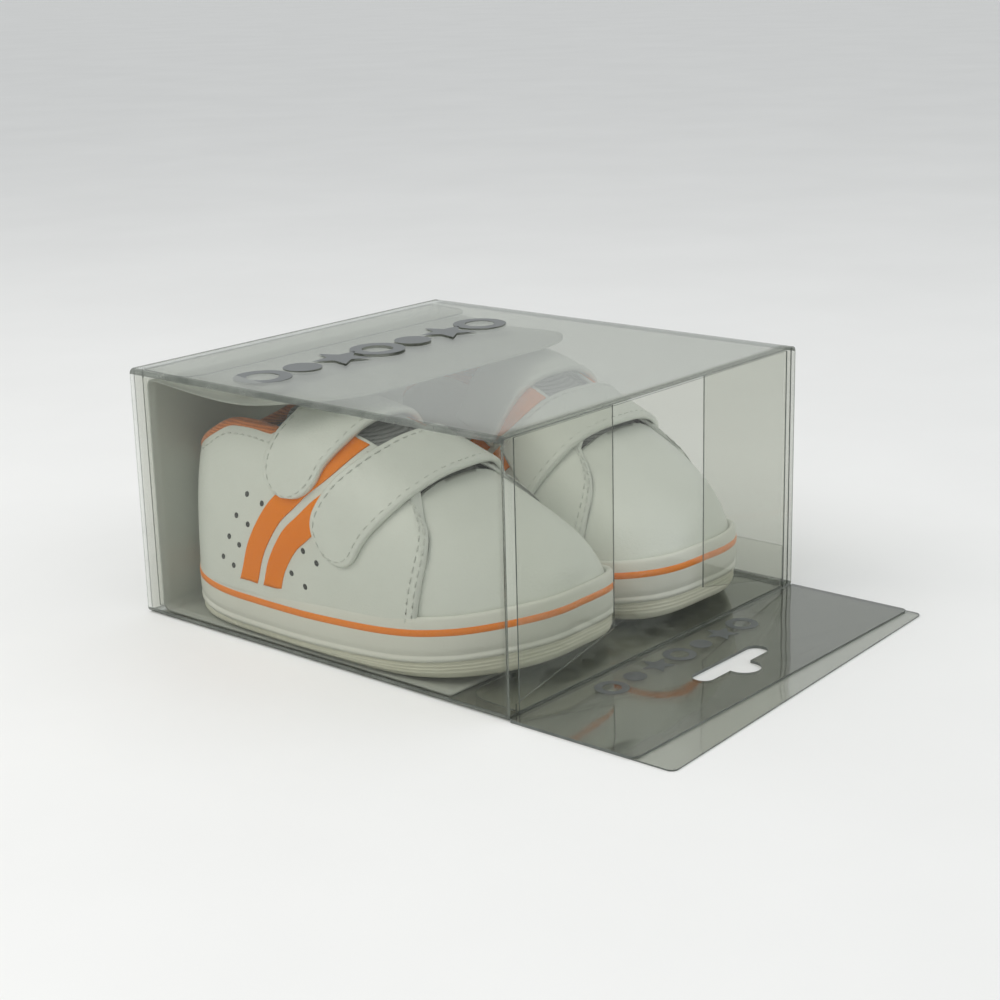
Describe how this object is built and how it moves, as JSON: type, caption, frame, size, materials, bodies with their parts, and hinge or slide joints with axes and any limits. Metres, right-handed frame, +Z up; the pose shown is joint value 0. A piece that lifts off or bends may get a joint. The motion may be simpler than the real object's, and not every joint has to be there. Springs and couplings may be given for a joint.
{
  "type": "transparent hanging shoe carton with a pair of toddler shoes",
  "caption": "Clear folded film carton with a hang header, tuck closures and an insert card, holding a pair of hook-and-loop toddler shoes.",
  "frame": {"origin": "centre of the carton's floor, on its outer face", "axes": "+Z up from the floor panel to the front panel; -Y towards the hang header and the shoes' toes; X across the carton, the right shoe at -X"},
  "size_m": [0.1342, 0.1938, 0.075],
  "materials": {
    "clear_film": "gloss",
    "insert_card": "satin",
    "white_leather": "satin",
    "grey_textile": "matte",
    "orange_lining": "matte",
    "orange_trim": "satin",
    "foxing_rubber": "satin",
    "outsole_rubber": "matte"
  },
  "bodies": {
    "carton": {"back_panel": "clear_film", "front_panel": "clear_film", "side_panel_right": "clear_film", "side_panel_left": "clear_film", "glue_flap": "clear_film", "insert_card": "insert_card"},
    "header": {"header_back_layer": "clear_film", "header_front_layer": "clear_film"},
    "top_closure": {"top_closure": "clear_film"},
    "top_tuck": {"top_tuck_flap": "clear_film"},
    "top_dust_right": {"top_dust_flap_right": "clear_film"},
    "top_dust_left": {"top_dust_flap_left": "clear_film"},
    "bottom_closure": {"bottom_closure": "clear_film"},
    "bottom_tuck": {"bottom_tuck_flap": "clear_film"},
    "bottom_dust_right": {"bottom_dust_flap_right": "clear_film"},
    "bottom_dust_left": {"bottom_dust_flap_left": "clear_film"},
    "right_shoe": {"right_outsole": "outsole_rubber", "right_foxing": "foxing_rubber", "right_foxing_line": "orange_trim", "right_insole": "grey_textile", "right_vamp": "white_leather", "right_heel_strip": "white_leather", "right_quarter_lateral": "white_leather", "right_quarter_medial": "white_leather", "right_collar_lining": "orange_lining", "right_tongue": "grey_textile", "right_front_strap": "white_leather", "right_rear_strap": "white_leather", "right_lateral_stripes": "orange_trim", "right_medial_stripes": "orange_trim"},
    "left_shoe": {"left_outsole": "outsole_rubber", "left_foxing": "foxing_rubber", "left_foxing_line": "orange_trim", "left_insole": "grey_textile", "left_vamp": "white_leather", "left_heel_strip": "white_leather", "left_quarter_lateral": "white_leather", "left_quarter_medial": "white_leather", "left_collar_lining": "orange_lining", "left_tongue": "grey_textile", "left_front_strap": "white_leather", "left_rear_strap": "white_leather", "left_lateral_stripes": "orange_trim", "left_medial_stripes": "orange_trim"}
  },
  "joints": [
    {"name": "top_closure_hinge", "type": "hinge", "parent": "carton", "child": "top_closure", "pos_m": [0, -0.07125, 0.075], "axis": [-1, 0, 0], "range_deg": [0, 170]},
    {"name": "top_tuck_hinge", "type": "hinge", "parent": "top_closure", "child": "top_tuck", "pos_m": [0, -0.07045, 0.00125], "axis": [1, 0, 0], "range_deg": [0, 85]},
    {"name": "header_fold", "type": "hinge", "parent": "carton", "child": "header", "pos_m": [0, -0.07165, 0.0008], "axis": [-1, 0, 0], "range_deg": [0, 85]},
    {"name": "bottom_closure_hinge", "type": "hinge", "parent": "carton", "child": "bottom_closure", "pos_m": [0, 0.07125, 0], "axis": [-1, 0, 0], "range_deg": [0, 90]},
    {"name": "bottom_tuck_hinge", "type": "hinge", "parent": "bottom_closure", "child": "bottom_tuck", "pos_m": [0, 0.07045, 0.07375], "axis": [1, 0, 0], "range_deg": [0, 45]},
    {"name": "top_dust_hinge_right", "type": "hinge", "parent": "carton", "child": "top_dust_right", "pos_m": [-0.06635, -0.07005, 0.0375], "axis": [0, 0, -1], "range_deg": [-5, 0]},
    {"name": "top_dust_hinge_left", "type": "hinge", "parent": "carton", "child": "top_dust_left", "pos_m": [0.06635, -0.07005, 0.0375], "axis": [0, 0, 1], "range_deg": [-1, 0]},
    {"name": "bottom_dust_hinge_right", "type": "hinge", "parent": "carton", "child": "bottom_dust_right", "pos_m": [-0.06635, 0.07005, 0.0375], "axis": [0, 0, 1], "range_deg": [-2.5, 0]},
    {"name": "bottom_dust_hinge_left", "type": "hinge", "parent": "carton", "child": "bottom_dust_left", "pos_m": [0.06635, 0.07005, 0.0375], "axis": [0, 0, -1], "range_deg": [-2.5, 0]},
    {"name": "right_shoe_slide", "type": "slide", "parent": "carton", "child": "right_shoe", "axis": [0, -1, 0], "range_m": [0, 0.003]},
    {"name": "left_shoe_slide", "type": "slide", "parent": "carton", "child": "left_shoe", "axis": [0, 1, 0], "range_m": [0, 0.004]}
  ],
  "couplings": [
    {"joint": "top_tuck_hinge", "follows": "top_closure_hinge", "ratio": 0.5},
    {"joint": "bottom_tuck_hinge", "follows": "bottom_closure_hinge", "ratio": 0.5}
  ]
}
